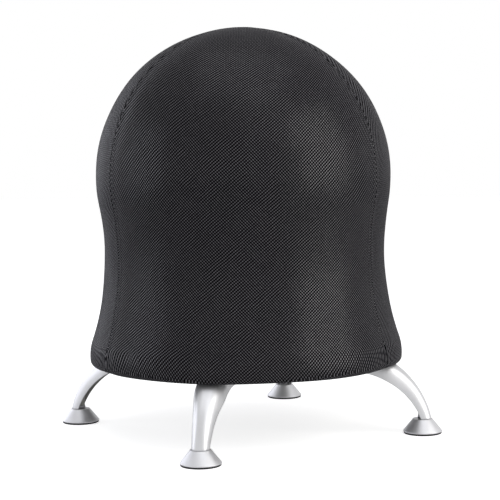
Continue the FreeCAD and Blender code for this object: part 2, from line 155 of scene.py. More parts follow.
def lathe(name, outline, steps, x=0.0, degrees=35.0):
    """The outline of (r, z) points turned all round an upright axis at x."""
    obj = draw_line(name, [(r, 0, z) for r, z in outline])
    bpy.ops.mesh.select_all(action="SELECT")
    bpy.ops.mesh.spin(steps=steps, angle=2 * math.pi, center=(0, 0, 0), axis=(0, 0, 1))
    leave()
    obj.location.x = x
    return tidy(settle(obj), degrees)


SIDE_SHARE = 0.45           # the most of a side that one corner's arc may take


def soften(points, radius, arc_steps=4):
    """The outline with each inner corner rounded by an arc of about the given radius."""
    flat = [Vector(p) for p in points]
    made = [flat[0]]
    for before, corner, after in zip(flat, flat[1:], flat[2:]):
        into, out = (before - corner), (after - corner)
        turn = into.angle(out)
        cut = min(radius / math.tan(turn / 2), SIDE_SHARE * into.length, SIDE_SHARE * out.length)
        a, b = corner + into.normalized() * cut, corner + out.normalized() * cut
        for k in range(arc_steps + 1):
            t = k / arc_steps
            made.append((1 - t) ** 2 * a + 2 * t * (1 - t) * corner + t * t * b)
    return [tuple(p) for p in made + [flat[-1]]]


def join(name, objects):
    """Several objects as one piece."""
    clear()
    for obj in objects:
        obj.select_set(True)
    bpy.context.view_layer.objects.active = objects[0]
    bpy.ops.object.join()
    objects[0].name = name
    return objects[0]


def copy_of(obj, name, turn=0.0, move=(0, 0, 0)):
    """A copy with its own mesh, turned about the chair's middle axis and moved."""
    twin = obj.copy()
    twin.data = obj.data.copy()
    twin.name = name
    bpy.context.scene.collection.objects.link(twin)
    twin.data.transform(Matrix.Rotation(turn, 4, "Z") @ Matrix.Translation(move))
    return twin


def discard(obj):
    bpy.data.objects.remove(obj)


def points_of(obj):
    co = np.zeros(len(obj.data.vertices) * 3)
    obj.data.vertices.foreach_get("co", co)
    return co.reshape(-1, 3)


def set_points(obj, co):
    obj.data.vertices.foreach_set("co", co.astype(np.float32).ravel())
    obj.data.update()


def polar(co):
    """Distance from the chair's middle axis and angle round it."""
    return np.hypot(co[:, 0], co[:, 1]), np.arctan2(co[:, 1], co[:, 0])


def smooth_step(low, high, value):
    t = np.clip((value - low) / (high - low), 0, 1)
    return t * t * (3 - 2 * t)


def wear(obj, material):
    obj.data.materials.clear()
    obj.data.materials.append(material)
    return obj


def report(obj):
    size = obj.dimensions
    tris = sum(len(p.vertices) - 2 for p in obj.data.polygons)
    print(obj.name, "triangles", tris, "size mm", [round(x / MM, 1) for x in size])


def dress(obj, material, body=None, node=None):
    """Gives a piece its finish, hangs it on the body that carries it, and hides the frame's node that it
    replaces.
    """
    wear(obj, material)
    if body:
        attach(obj, body)
    if node:
        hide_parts(node)
    report(obj)
    return obj


# %% [markdown]
# Two effects are shared by several finishes, so each is a shader node group with named inputs.
# Grain is the fine unevenness of moulded plastic, rubber and paint: noise read on the object's own
# coordinates, with one output for colour and roughness and one for bump. Ribbing is a band of fine
# parallel lines along one direction of a vector, as on braided elastic, turned metal and tape.

# %% Shared shader groups
def new_group(name, inputs, outputs):
    group = bpy.data.node_groups.new(name, "ShaderNodeTree")
    for label, kind, value in inputs:
        socket = group.interface.new_socket(label, in_out="INPUT", socket_type="NodeSocket" + kind)
        if value is not None:
            socket.default_value = value
    for label, kind in outputs:
        group.interface.new_socket(label, in_out="OUTPUT", socket_type="NodeSocket" + kind)
    start = group.nodes.new("NodeGroupInput")
    end = group.nodes.new("NodeGroupOutput")
    return group, start, end


class Wiring:
    """Short names for adding and linking nodes in one tree."""

    def __init__(self, tree):
        self.tree = tree

    def node(self, kind, **settings):
        node = self.tree.nodes.new("ShaderNode" + kind)
        for key, value in settings.items():
            setattr(node, key, value)
        return node

    def link(self, source, target):
        self.tree.links.new(source, target)

    def feed(self, node, labels, values):
        """Links each input to its value, or sets it where the value is plain."""
        for label, value in zip(labels, values):
            if isinstance(value, (int, float, tuple)):
                node.inputs[label].default_value = value
            else:
                self.link(value, node.inputs[label])
        return node

    def math(self, operation, *values):
        node = self.node("Math", operation=operation)
        return self.feed(node, range(len(values)), values).outputs[0]

    def band(self, value, low, high, to_low=0.0, to_high=1.0, smooth=True):
        node = self.node("MapRange", interpolation_type="SMOOTHSTEP" if smooth else "LINEAR")
        labels = ("Value", "From Min", "From Max", "To Min", "To Max")
        return self.feed(node, labels, (value, low, high, to_low, to_high)).outputs["Result"]

    def blend(self, factor, low, high):
        """A colour between two, by a factor. A Mix node keeps its colours in inputs 6 and 7."""
        node = self.node("Mix", data_type="RGBA")
        return self.feed(node, (0, 6, 7), (factor, low, high)).outputs[2]

    def noise(self, vector, scale, detail=2.0, roughness=0.5):
        labels = ("Vector", "Scale", "Detail", "Roughness")
        values = (vector, scale, detail, roughness)
        return self.feed(self.node("TexNoise"), labels, values).outputs["Fac"]

    def split(self, vector):
        return self.feed(self.node("SeparateXYZ"), (0,), (vector,)).outputs

    def own_place(self):
        """Where a point is on its own object, before the object is moved."""
        return self.node("TexCoord").outputs["Object"]


def grey(value, blue=0.0):
    return (value, value, value + blue, 1.0)


FINE_SHARE = 0.35           # of the fine noise in the tone, beside the patches

grain_group, grain_in, grain_out = new_group(
    "grain",
    [("Vector", "Vector", None), ("Scale", "Float", 900.0), ("Patches", "Float", 14.0)],
    [("Tone", "Float"), ("Height", "Float")],
)
w = Wiring(grain_group)
fine = w.noise(grain_in.outputs["Vector"], grain_in.outputs["Scale"], 3.0, 0.6)
patches = w.noise(grain_in.outputs["Vector"], grain_in.outputs["Patches"], 2.0)
fine_part = w.math("MULTIPLY", fine, FINE_SHARE)
w.link(w.math("ADD", fine_part, w.math("MULTIPLY", patches, 1 - FINE_SHARE)), grain_out.inputs["Tone"])
w.link(fine, grain_out.inputs["Height"])

ribbing_group, ribbing_in, ribbing_out = new_group(
    "ribbing",
    [("Position", "Float", None), ("Pitch", "Float", 0.001)],
    [("Line", "Float")],
)
w = Wiring(ribbing_group)
turns = w.math("DIVIDE", ribbing_in.outputs["Position"], ribbing_in.outputs["Pitch"])
wave = w.math("SINE", w.math("MULTIPLY", turns, 2 * math.pi))
w.link(w.math("MULTIPLY_ADD", wave, 0.5, 0.5), ribbing_out.inputs["Line"])
print("shader groups", [g.name for g in bpy.data.node_groups])


# %% [markdown]
# Air mesh is a knit with a diamond grid of small holes. Two waves that cross on the slant make such a
# grid: their sum is highest in the middle of each hole and lowest where four strands meet, so one
# number gives the hole, the strand and its roundness. A slow noise lets one wave or the other lead
# from place to place, as the knit's pull does on a stretched cover. It is read on the cloth's own UV
# map, which is in metres measured along the cloth, so the grid keeps its size and follows the panel.
# Drawing 60,000 holes as geometry would be far too heavy for a pattern this fine.

# %% Air mesh group
HOLE_ACROSS = 4.52 * MM     # between holes of one row
HOLE_ALONG = 4.36 * MM      # between every second row
ROW_SLANT = 0.13            # how far the rows climb for each length across
STRAY = 0.9 * MM            # how far the knit's rows wander
STRAY_SCALE, LEAD_SCALE = 60.0, 38.0
LEAD = (0.36, 0.64)         # the least and the most share of the first wave
MESH_BANDS = {"Hole": (-0.06, 0.18), "Strand": (0.0, -0.8), "Height": (0.5, -0.5)}

mesh_group, mesh_in, mesh_out = new_group(
    "air_mesh",
    [("Vector", "Vector", None), ("Across", "Float", HOLE_ACROSS), ("Along", "Float", HOLE_ALONG)],
    [("Hole", "Float"), ("Strand", "Float"), ("Height", "Float")],
)
w = Wiring(mesh_group)
cloth = mesh_in.outputs["Vector"]
way = w.split(cloth)
wobble = w.noise(cloth, STRAY_SCALE, 1.0)
shift = w.math("MULTIPLY", w.math("SUBTRACT", wobble, 0.5), STRAY)
climb = w.math("MULTIPLY_ADD", way["X"], -ROW_SLANT, way["Y"])
across = w.math("DIVIDE", w.math("ADD", way["X"], shift), mesh_in.outputs["Across"])
along = w.math("DIVIDE", w.math("ADD", climb, shift), mesh_in.outputs["Along"])
rising, falling = (
    w.math("COSINE", w.math("MULTIPLY", w.math(kind, across, along), 2 * math.pi))
    for kind in ("ADD", "SUBTRACT")
)
lead = w.band(w.noise(cloth, LEAD_SCALE, 3.0), 0.35, 0.65, *LEAD)
grid = w.math("MULTIPLY_ADD", w.math("SUBTRACT", rising, falling), lead, falling)
for label, (low, high) in MESH_BANDS.items():
    w.link(w.band(grid, low, high), mesh_out.inputs[label])
print("holes per square metre", round(2 / (HOLE_ACROSS * HOLE_ALONG)))

# %% [markdown]
# A material starts from plain values on its shader, and only what varies over the surface is linked.
# Yarn, rubber and moulded plastic have nothing but a fine grain, which one function gives them all:
# it shifts their tone, roughens them in patches where that shows, and stands up as bump.

# %% Material helpers
def principled(name, base, rough, **settings):
    """A material whose shader has the given plain values, with its wiring and its shader."""
    material = bpy.data.materials.new(name)
    material.use_nodes = True
    shader = material.node_tree.nodes["Principled BSDF"]
    shader.inputs["Base Color"].default_value = base
    shader.inputs["Roughness"].default_value = rough
    for key, value in settings.items():
        shader.inputs[key.replace("_", " ")].default_value = value
    return material, Wiring(material.node_tree), shader


def add_bump(w, shader, height, strength, distance):
    bump = w.node("Bump")
    bump.inputs["Strength"].default_value = strength
    bump.inputs["Distance"].default_value = distance
    w.link(height, bump.inputs["Height"])
    w.link(bump.outputs["Normal"], shader.inputs["Normal"])


def use_group(w, group, **values):
    return w.feed(w.node("Group", node_tree=group), values, values.values()).outputs


def grained(name, base, rough, tones, scale, patches, bump, roughs=None, **settings):
    """A finish with grain between two tones, with bump's strength and depth."""
    material, w, shader = principled(name, base, rough, **settings)
    skin = use_group(w, grain_group, Vector=w.own_place(), Scale=scale, Patches=patches)
    w.link(w.blend(skin["Tone"], *tones), shader.inputs["Base Color"])
    if roughs:
        w.link(w.band(skin["Tone"], 0.3, 0.7, *roughs), shader.inputs["Roughness"])
    add_bump(w, shader, skin["Height"], *bump)
    return material


# %% [markdown]
# The cover's yarn is black polyester. The holes are painted near black, as painted shade in their
# depth, and the loops between them are painted paler than the strands, as painted highlight where
# the shiny thread catches the lamps. The thread is smooth, so it also takes a wide soft shine from the
# lamps, which a rough coat on the strands alone gives. The fuzz on the yarn gives the cover a slightly
# paler, cooler rim where it turns away, which is what a shader's sheen is for. A speckle varies the
# painted highlight from loop to loop, and a slow change of tone keeps it from looking printed.

# %% Cover material
# painted shade: the depth of the holes is painted near black
HOLE_SHADE = grey(0.0006)
STRAND_SHINE = 0.48         # the coat's weight on the top of a strand
FUZZ = 0.12                 # its height, as a share of the strands'

air_mesh, w, shader = principled(
    "air_mesh_black", grey(0.02), 0.7,
    Sheen_Weight=0.015, Sheen_Roughness=0.4, Sheen_Tint=(0.62, 0.55, 0.85, 1.0),
    Specular_IOR_Level=0.05, Coat_Roughness=0.29, Coat_IOR=2.0, Coat_Tint=(1.0, 0.98, 1.0, 1.0),
)
uv = w.node("UVMap", uv_map="cloth")
knit = use_group(w, mesh_group, Vector=uv.outputs["UV"])
place = w.own_place()
fuzz = w.noise(place, 2600.0, 2.0)
tone = w.noise(place, 9.0, 3.0)
speckle = w.noise(place, 420.0, 1.0)
strand = w.blend(tone, (0.014, 0.014, 0.017, 1), (0.021, 0.020, 0.024, 1))
# painted highlight: the loops are painted paler, where the shiny thread catches the lamps
loop_highlight = w.blend(w.band(speckle, 0.35, 0.65), (0.040, 0.038, 0.045, 1), (0.084, 0.081, 0.090, 1))
yarn_and_highlight = w.blend(knit["Strand"], strand, loop_highlight)
w.link(w.blend(knit["Hole"], yarn_and_highlight, HOLE_SHADE), shader.inputs["Base Color"])
w.link(w.band(knit["Hole"], 0, 1, 0.62, 0.95), shader.inputs["Roughness"])
shine = w.band(knit["Strand"], 0, 1, 0.0, STRAND_SHINE, smooth=False)
w.link(shine, shader.inputs["Coat Weight"])
height = w.math("MULTIPLY_ADD", fuzz, FUZZ, knit["Height"])
add_bump(w, shader, height, 0.8, 0.5 * MM)

# %% [markdown]
# The cover's outside line is four tangent arcs and a short flat hem: the dome, the hollow waist, the
# flare over the tray's rim and the roll under it. Its heights come from the frame's cover. The line
# is kept as a list of places, each with its outward direction and its distance along the cloth.

# %% The cover's line
cover_low, cover_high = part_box("cover_front")[0].z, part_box("cover_front")[1].z
DOME = 213.3 * MM
WAIST_ARC = 396.2 * MM
FLARE_ARC = 72.1 * MM
RIM = DOME + 14.0 * MM
RIM_LIFT = 11.0 * MM
ROLL = 5.5 * MM
HEM_DEPTH = 15.6 * MM
CLOTH = 2.3 * MM
PANEL_TURN = math.radians(13.75)
ROW, ROLL_ROW = 3.2 * MM, 1.1 * MM
FLAT_ROWS = 7


def outer_centre_of(a, reach_a, b, reach_b):
    """The point outside the line from a to b at the given distances from both."""
    down = (b[0] - a[0], b[1] - a[1])
    apart = math.hypot(*down)
    run = (reach_a**2 - reach_b**2 + apart**2) / (2 * apart)
    out = math.sqrt(reach_a**2 - run**2)
    return (
        a[0] + (down[0] * run - down[1] * out) / apart,
        a[1] + (down[1] * run + down[0] * out) / apart,
    )


def direction(a, b):
    return math.atan2(b[1] - a[1], b[0] - a[0])


dome_centre = (0.0, cover_high - DOME)
flare_centre = (RIM - FLARE_ARC, cover_low + RIM_LIFT)
waist_centre = outer_centre_of(dome_centre, DOME + WAIST_ARC, flare_centre, FLARE_ARC + WAIST_ARC)
roll_z = cover_low + ROLL
roll_r = flare_centre[0] + math.sqrt((FLARE_ARC - ROLL) ** 2 - (flare_centre[1] - roll_z) ** 2)
roll_centre = (roll_r, roll_z)


def arc_places(centre, radius, start, stop, step, hollow=False):
    """Places (r, z, outward r, outward z) along an arc, without its last end."""
    count = max(2, round(abs(stop - start) * radius / step))
    made = []
    for k in range(count):
        angle = start + (stop - start) * k / count
        c, s = math.cos(angle), math.sin(angle)
        side = -1 if hollow else 1
        made.append((centre[0] + radius * c, centre[1] + radius * s, side * c, side * s))
    return made


def cover_places(step):
    to_waist = direction(dome_centre, waist_centre)
    to_flare = direction(waist_centre, flare_centre) % (2 * math.pi)
    to_roll = direction(flare_centre, roll_centre)
    places = arc_places(dome_centre, DOME, math.pi / 2, to_waist, step)
    places += arc_places(waist_centre, WAIST_ARC, math.pi + to_waist, to_flare, step, hollow=True)
    places += arc_places(flare_centre, FLARE_ARC, to_flare - math.pi, to_roll, step)
    places += arc_places(roll_centre, ROLL, to_roll, -math.pi / 2, ROLL_ROW)
    for k in range(FLAT_ROWS + 1):
        places.append((roll_r - HEM_DEPTH * k / FLAT_ROWS, cover_low, 0.0, -1.0))
    return np.array(places)


places = cover_places(ROW)
steps = np.hypot(*np.diff(places[:, :2], axis=0).T)
cloth_run = np.concatenate([[0], np.cumsum(steps)])
panel_span = 2 * math.pi / 3
panel_length = cloth_run[-1]

# %% [markdown]
# Each of the three cover panels is one stretched sheet. The line is drawn once and spun through a
# third of a turn, in small steps beside the two seams, where the cloth has detail, and in wider
# steps between. The seams pull the cloth in, and a double layer stands up on both sides with a row
# of stitches pressed into it. At the waist the cloth creases a little beside the seams, and under
# the tray the elastic gathers it into puckers, smaller where it passes over a leg. Those forms are
# sculpted by moving vertices along the cloth's outward direction. A Solidify modifier then gives
# the thickness. A cloth simulation was left out because the ball keeps this cover tight.

# %% Cover panels
SEAM_STEPS = [(2.4, 10), (4.0, 8), (6.0, 6)]     # degrees and steps, from a seam inwards
WIDE_STEPS = 54
GROOVE, GROOVE_WIDE = 0.7 * MM, 1.1 * MM            # on the seam itself
WELT, WELT_EDGE = 0.4 * MM, (6.6 * MM, 8.6 * MM)    # the double layer, and where it ends
STITCH_LINE = 5.2 * MM
PRESS, PRESS_WIDE = 0.35 * MM, 0.9 * MM             # under the stitches
PULL, PULL_WIDE = 0.9 * MM, 22 * MM                 # the seam's hold on the cloth beside it
CREASE, CREASE_PITCH = 0.22 * MM, 8.5 * MM
CREASE_AT, CREASE_HIGH, CREASE_WIDE = 19 * MM, 26 * MM, 9 * MM
SWELL = 0.22 * MM                                   # the cloth's slow unevenness
PUCKERS = 84                                        # in a turn
CROWN = 0.05 * MM                                   # closer to the axis there is no outward way


def leg_clearance(azimuth):
    """0 beside a leg and 1 away from it."""
    off = np.abs((np.degrees(azimuth) + 45) % 90 - 45)
    return smooth_step(7.0, 11.0, off)


def bell(value, middle, width):
    """1 in the middle, and next to nothing at two widths away."""
    return np.exp(-(((value - middle) / width) ** 2))


def cloth_form(run, z, azimuth, to_seam):
    """How far the sewn and stretched cloth stands out from the cover's line."""
    seam = WELT * (1 - smooth_step(*WELT_EDGE, to_seam)) - GROOVE * bell(to_seam, 0, GROOVE_WIDE)
    seam = seam - PRESS * bell(to_seam, STITCH_LINE, PRESS_WIDE) - PULL * bell(to_seam, 0, PULL_WIDE)
    where = bell(z, waist_centre[1] - 4 * MM, CREASE_HIGH) * bell(to_seam, CREASE_AT, CREASE_WIDE)
    slant = (z * 0.8 + to_seam * 0.6) / CREASE_PITCH
    crease = where * np.sin(2 * math.pi * slant + 3 * np.sin(azimuth * 2))
    slow = np.sin(5 * azimuth + 9 * z / DOME) + np.sin(8 * azimuth - 14 * z / DOME + 1.7)
    form = seam * smooth_step(0.0, 30 * MM, run) + CREASE * crease
    return form + SWELL * slow * smooth_step(0.0, 60 * MM, run)


def pucker(azimuth, run):
    """How far the gathered hem hangs below its flat line."""
    rolled = panel_length - HEM_DEPTH
    depth = smooth_step(rolled + 3 * MM, panel_length, run)
    phase = PUCKERS * azimuth + 2.2 * np.sin(5 * azimuth) + 1.1 * np.sin(13 * azimuth + 0.7)
    fold = 0.5 + 0.5 * np.sin(phase)
    return depth * fold * (0.25 + 1.05 * leg_clearance(azimuth)) * MM


def flat_pattern(run, r, slope, off):
    """Where a place lies on the flat cloth: true along each row, with the rows gently curved."""
    t = np.where(np.abs(off * slope) < 1e-6, 1e-6, off * slope)
    straight = r * off
    curved = straight * np.sin(t) / t
    rise = straight * (1 - np.cos(t)) / t
    return 0.5 * (straight + curved), run + 0.5 * rise


def make_panel(name, middle):
    start = middle - panel_span / 2
    c, s = math.cos(start), math.sin(start)
    obj = draw_line(name, [(r * c, r * s, z) for r, z in places[:, :2]])
    bpy.ops.mesh.select_all(action="SELECT")
    between = math.degrees(panel_span) - 2 * sum(degrees for degrees, _ in SEAM_STEPS)
    for degrees, count in [*SEAM_STEPS, (between, WIDE_STEPS), *SEAM_STEPS[::-1]]:
        bpy.ops.mesh.spin(steps=count, angle=math.radians(degrees), center=(0, 0, 0), axis=(0, 0, -1))
    bpy.ops.mesh.select_all(action="SELECT")
    bpy.ops.mesh.remove_doubles(threshold=0.02 * MM)
    bpy.ops.mesh.normals_make_consistent(inside=False)
    leave()
    co = points_of(obj)
    r, azimuth = polar(co)
    off = (azimuth - middle + math.pi) % (2 * math.pi) - math.pi
    off = np.where(r < CROWN, 0.0, np.clip(off, -panel_span / 2, panel_span / 2))
    row = np.argmin(np.hypot(r[:, None] - places[:, 0], co[:, 2][:, None] - places[:, 1]), axis=1)
    run = cloth_run[row]
    out_r, out_z = places[row, 2], places[row, 3]
    to_seam = r * (panel_span / 2 - np.abs(off))
    rolled = panel_length - HEM_DEPTH
    form = cloth_form(run, co[:, 2], azimuth, to_seam) * (1 - smooth_step(rolled, rolled + 4 * MM, run))
    unit = np.stack([np.cos(azimuth), np.sin(azimuth)], axis=1)
    unit[r < CROWN] = 0
    co[:, :2] += unit * (form * out_r)[:, None]
    co[:, 2] += form * out_z - pucker(azimuth, run)
    set_points(obj, co)
    across, along = flat_pattern(run, r, np.gradient(places[:, 0], cloth_run)[row], off)
    layer = obj.data.uv_layers.new(name="cloth")
    index = np.zeros(len(obj.data.loops), int)
    obj.data.loops.foreach_get("vertex_index", index)
    flat = np.stack([0.5 + across[index], 0.02 + along[index]], axis=1)
    layer.data.foreach_set("uv", flat.astype(np.float32).ravel())
    modify(obj, "SOLIDIFY", thickness=CLOTH, offset=-1.0, use_rim=True, use_even_offset=False)
    return smooth_below(obj, 60)


panels = {}
for number, side in enumerate(("front", "right", "left")):
    middle = PANEL_TURN - math.pi / 2 + panel_span * number
    panels[side] = make_panel("cover_panel_" + side, middle)
    dress(panels[side], air_mesh, node="cover_" + side)

# %% [markdown]
# The ball and the cover give together when someone sits down, so they ride on the seat's body,
# each with a mesh of its own.


def give_with_seat(obj):
    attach(obj, "seat")
    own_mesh(obj)


# %% [markdown]
# Two rows of topstitching run down each seam. One stitch is modelled as a small rounded bar and
# copied along both rows, each copy turned to lie along the cloth. A stitch has few faces because
# there are over a thousand of them.

# %% Seam stitching
thread = grained(
    "polyester_thread", grey(0.05, 0.005), 0.55, (grey(0.025, 0.003), grey(0.07, 0.006)),
    3000.0, 40.0, (0.4, 0.1 * MM), Sheen_Weight=0.15, Sheen_Roughness=0.5)

STITCH = 2.7 * MM
STITCH_PITCH = 3.5 * MM
STITCH_WIDE = 0.62 * MM
STITCH_START = 14 * MM      # from the crown along the cloth
STITCH_FREE = 16 * MM       # of the cloth's length, before the first stitch and after the last
STITCH_LIFT = 0.12 * MM     # of a stitch's middle over the cloth


def scatter(name, shape, frames):
    """One mesh of many copies of a small shape, each placed by a frame of three axes and a place."""
    base = points_of(shape)
    faces = [tuple(p.vertices) for p in shape.data.polygons]
    verts, made = [], []
    for axes, place in frames:
        offset = len(verts) * len(base)
        verts.append(base @ np.array(axes) + np.array(place))
        made += [tuple(v + offset for v in face) for face in faces]
    mesh = bpy.data.meshes.new(name)
    mesh.from_pydata(np.concatenate(verts).tolist(), [], made)
    obj = bpy.data.objects.new(name, mesh)
    bpy.context.scene.collection.objects.link(obj)
    pick(obj)
    bpy.ops.object.shade_smooth()
    return obj


def small_stitch(length, width):
    clear()
    bpy.ops.mesh.primitive_uv_sphere_add(
        segments=6, ring_count=4, radius=0.5, rotation=(0, math.pi / 2, 0))
    obj = settle(bpy.context.object)
    enter(obj)
    bpy.ops.transform.resize(value=(length, width, width * 0.8))
    leave()
    return obj


def seam_frames(azimuth):
    """Frames of the stitches on both sides of the seam at an azimuth."""
    frames = []
    count = int((panel_length - HEM_DEPTH - STITCH_FREE) / STITCH_PITCH)
    for side in (-1, 1):
        for k in range(count):
            run = STITCH_START + k * STITCH_PITCH
            r, z, out_r, out_z = (np.interp(run, cloth_run, places[:, i]) for i in range(4))
            where = azimuth + side * STITCH_LINE / r
            form = float(cloth_form(run, z, where, STITCH_LINE))
            c, s = math.cos(where), math.sin(where)
            out = Vector((out_r * c, out_r * s, out_z)).normalized()
            run_way = Vector((out_z * c, out_z * s, -out_r)).normalized()
            place = Vector((r * c, r * s, z)) + out * (form + STITCH_LIFT)
            frames.append(((run_way, out.cross(run_way), out), place))
    return frames


stitch = small_stitch(STITCH, STITCH_WIDE)
seams = {}
for number, side in enumerate(("left", "right", "rear")):
    azimuth = PANEL_TURN - math.pi / 2 + panel_span * (number - 0.5)
    seams[side] = scatter("seam_stitches_" + side, stitch, seam_frames(azimuth))
    dress(seams[side], thread)
discard(stitch)

# %% [markdown]
# The ball is one skin of dull grey PVC. Its line is the dome, a straight cone and a rounded foot on
# the tray, with a thicker patch round the valve's hole. Outside and inside are drawn as one outline
# and turned, so the wall is real. It shows only through the hole in the tray.

# %% Ball
pvc = grained(
    "ball_pvc", grey(0.09, 0.008), 0.48, (grey(0.07, 0.006), grey(0.115, 0.01)),
    1500.0, 10.0, (0.25, 0.15 * MM), (0.42, 0.56), Specular_IOR_Level=0.45)

BALL_GAP = 0.8 * MM         # kept from the cover's inside, so that they clear each other in motion
BALL_WALL = 2.0 * MM
BALL_ROW = 6.0 * MM
FOOT_CURVE = 150.0 * MM
VALVE_HOLE = 4.0 * MM
PATCH = 16.0 * MM
PATCH_HIGH = 7.0 * MM
ball_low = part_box("ball")[0].z
cone = -direction(dome_centre, waist_centre)


def ball_outline(inset):
    """The ball's line from its crown to the middle of its foot, moved inwards."""
    radius = DOME - CLOTH - BALL_GAP - inset
    dome = [p[:2] for p in arc_places(dome_centre, radius, math.pi / 2, -cone, BALL_ROW)]
    shoulder = (dome_centre[0] + radius * math.cos(cone), dome_centre[1] - radius * math.sin(cone))
    low = ball_low + inset
    corner = (shoulder[0] - (shoulder[1] - low) * math.tan(cone), low)
    curve = FOOT_CURVE - inset
    reach = curve * math.tan((math.pi / 2 - cone) / 2)
    centre = (corner[0] - reach, low + curve)
    foot = [p[:2] for p in arc_places(centre, curve, -cone, -math.pi / 2, BALL_ROW)]
    return dome + [shoulder] + foot + [(centre[0], low)]


outside = ball_outline(0)
inside = ball_outline(BALL_WALL)
patch_top = ball_low + PATCH_HIGH
patch = [(VALVE_HOLE, ball_low), (VALVE_HOLE, patch_top), (PATCH, patch_top)]
patch.append((PATCH, ball_low + BALL_WALL))
ball = lathe("ball_skin", outside + patch + inside[::-1], steps=80)
dress(ball, pvc, node="ball")

# %% [markdown]
# The cover, its stitches and the ball now ride on the seat.

# %% Seat pieces ride
for obj in [*panels.values(), *seams.values()]:
    give_with_seat(obj)
give_with_seat(ball)

# %% [markdown]
# The valve plug is a white moulded push-in plug: a shank in the ball's hole, and a thin head with a
# rounded rim and a raised ring that a fingernail can catch.

# %% Valve plug
white_plastic = grained(
    "white_plastic", grey(0.78, -0.02), 0.38, (grey(0.72, -0.03), grey(0.82, -0.01)),
    2400.0, 60.0, (0.15, 0.1 * MM), Subsurface_Weight=0.05)

PLUG_HEAD = 2.2 * MM        # its thickness with the ring
PLUG_RING = 0.85 * MM       # how far the ring stands up
PLUG_FIT = 0.05 * MM
PLUG_POINT = (1 * MM, 2 * MM)   # the slope at its end, inwards and upwards
(_, _, plug_low), (plug_rim, _, plug_high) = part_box("valve_plug")
head = plug_low + PLUG_HEAD
ring_high = plug_low + 0.05 * MM
ring_foot = ring_high + PLUG_RING
shank = VALVE_HOLE - PLUG_FIT
plug_line = soften([
    (0, ring_foot), (plug_rim * 0.45, ring_foot), (plug_rim * 0.52, ring_high),
    (plug_rim * 0.7, ring_high), (plug_rim * 0.8, ring_foot - 0.1 * MM), (plug_rim, ring_foot),
    (plug_rim, head), (shank, head), (shank, plug_high - PLUG_POINT[1]),
    (shank - PLUG_POINT[0], plug_high), (0, plug_high),
], 0.4 * MM)
plug = lathe("valve_plug_moulding", plug_line, steps=40)
dress(plug, white_plastic, "valve_plug", "valve_plug")

# %% [markdown]
# The hem is bound with a folded tape, sewn down, with a flat braided elastic in its tunnel. The
# tape's section is a soft rounded fold, spun all round and then rippled with the same puckers as the
# cloth beside it. Its finish is a fine rib across the tape, read on a UV map round the ring.

# %% Hem tape and elastic
TAPE_WIDE = 10.0 * MM
ELASTIC_WIDE = 6.0 * MM
RIPPLE = 0.6                # the tape's share of the cloth's puckers
tape_low, tape_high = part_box("hem_binding")
tape_outer = tape_high.x
tape_inner = tape_outer - TAPE_WIDE


def ring_uv(obj, middle):
    """A UV map round a ring: metres along it, and metres across it from its middle line."""
    co = points_of(obj)
    r, angle = polar(co)
    layer = obj.data.uv_layers.new(name="cloth")
    flat = []
    for polygon in obj.data.polygons:
        turn = [angle[v] % (2 * math.pi) for v in polygon.vertices]
        wrap = max(turn) - min(turn) > math.pi
        for v, a in zip(polygon.vertices, turn):
            a = a + 2 * math.pi if wrap and a < math.pi else a
            flat += [a * middle, r[v] + co[v, 2]]
    layer.data.foreach_set("uv", flat)


def ring_section(inner, outer, low, high, bulge, count):
    """A rounded strip's section, closed, as (r, z) places."""
    start = ((inner + outer) / 2, low)
    return soften([start, (outer, low), (outer, high), (inner, high), (inner, low), start], bulge, count)


def tape_ripple(azimuth):
    """How far the tape's lower side hangs with the puckers, which it hardly does over a leg."""
    return RIPPLE * (pucker(azimuth, panel_length) - 0.25 * MM * (1 - leg_clearance(azimuth)))


def ribbed_cloth(name, dark, light, pitch, rough):
    material, w, shader = principled(name, dark, rough, Sheen_Weight=0.3, Sheen_Roughness=0.5)
    way = w.split(w.node("UVMap", uv_map="cloth").outputs["UV"])
    rib = use_group(w, ribbing_group, Position=way["X"], Pitch=pitch)
    yarn = use_group(w, ribbing_group, Position=way["Y"], Pitch=pitch * 0.8)
    mix = w.math("MULTIPLY_ADD", rib["Line"], 0.65, w.math("MULTIPLY", yarn["Line"], 0.35))
    w.link(w.blend(mix, dark, light), shader.inputs["Base Color"])
    add_bump(w, shader, mix, 0.6, 0.25 * MM)
    return material


tape_cloth = ribbed_cloth("hem_tape_black", grey(0.018, 0.002), grey(0.05, 0.004), 1.1 * MM, 0.75)
braid = ribbed_cloth("elastic_black", grey(0.02), grey(0.06, 0.002), 0.8 * MM, 0.6)

tape_line = ring_section(tape_inner, tape_outer, tape_low.z, tape_high.z, 2.4 * MM, 5)
tape = lathe("hem_tape", tape_line, steps=420, degrees=60)
co = points_of(tape)
r, azimuth = polar(co)
upper = smooth_step(tape_low.z, tape_high.z, co[:, 2])
co[:, 2] -= tape_ripple(azimuth) * (1 - upper)
set_points(tape, co)
ring_uv(tape, (tape_inner + tape_outer) / 2)
dress(tape, tape_cloth, "root", "hem_binding")

elastic_low, elastic_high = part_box("hem_elastic")
elastic_line = ring_section(
    elastic_high.x - ELASTIC_WIDE, elastic_high.x, elastic_low.z, elastic_high.z, 0.9 * MM, 2)
elastic = lathe("hem_elastic_braid", elastic_line, steps=240, degrees=60)
ring_uv(elastic, elastic_high.x)
dress(elastic, braid, "root", "hem_elastic")
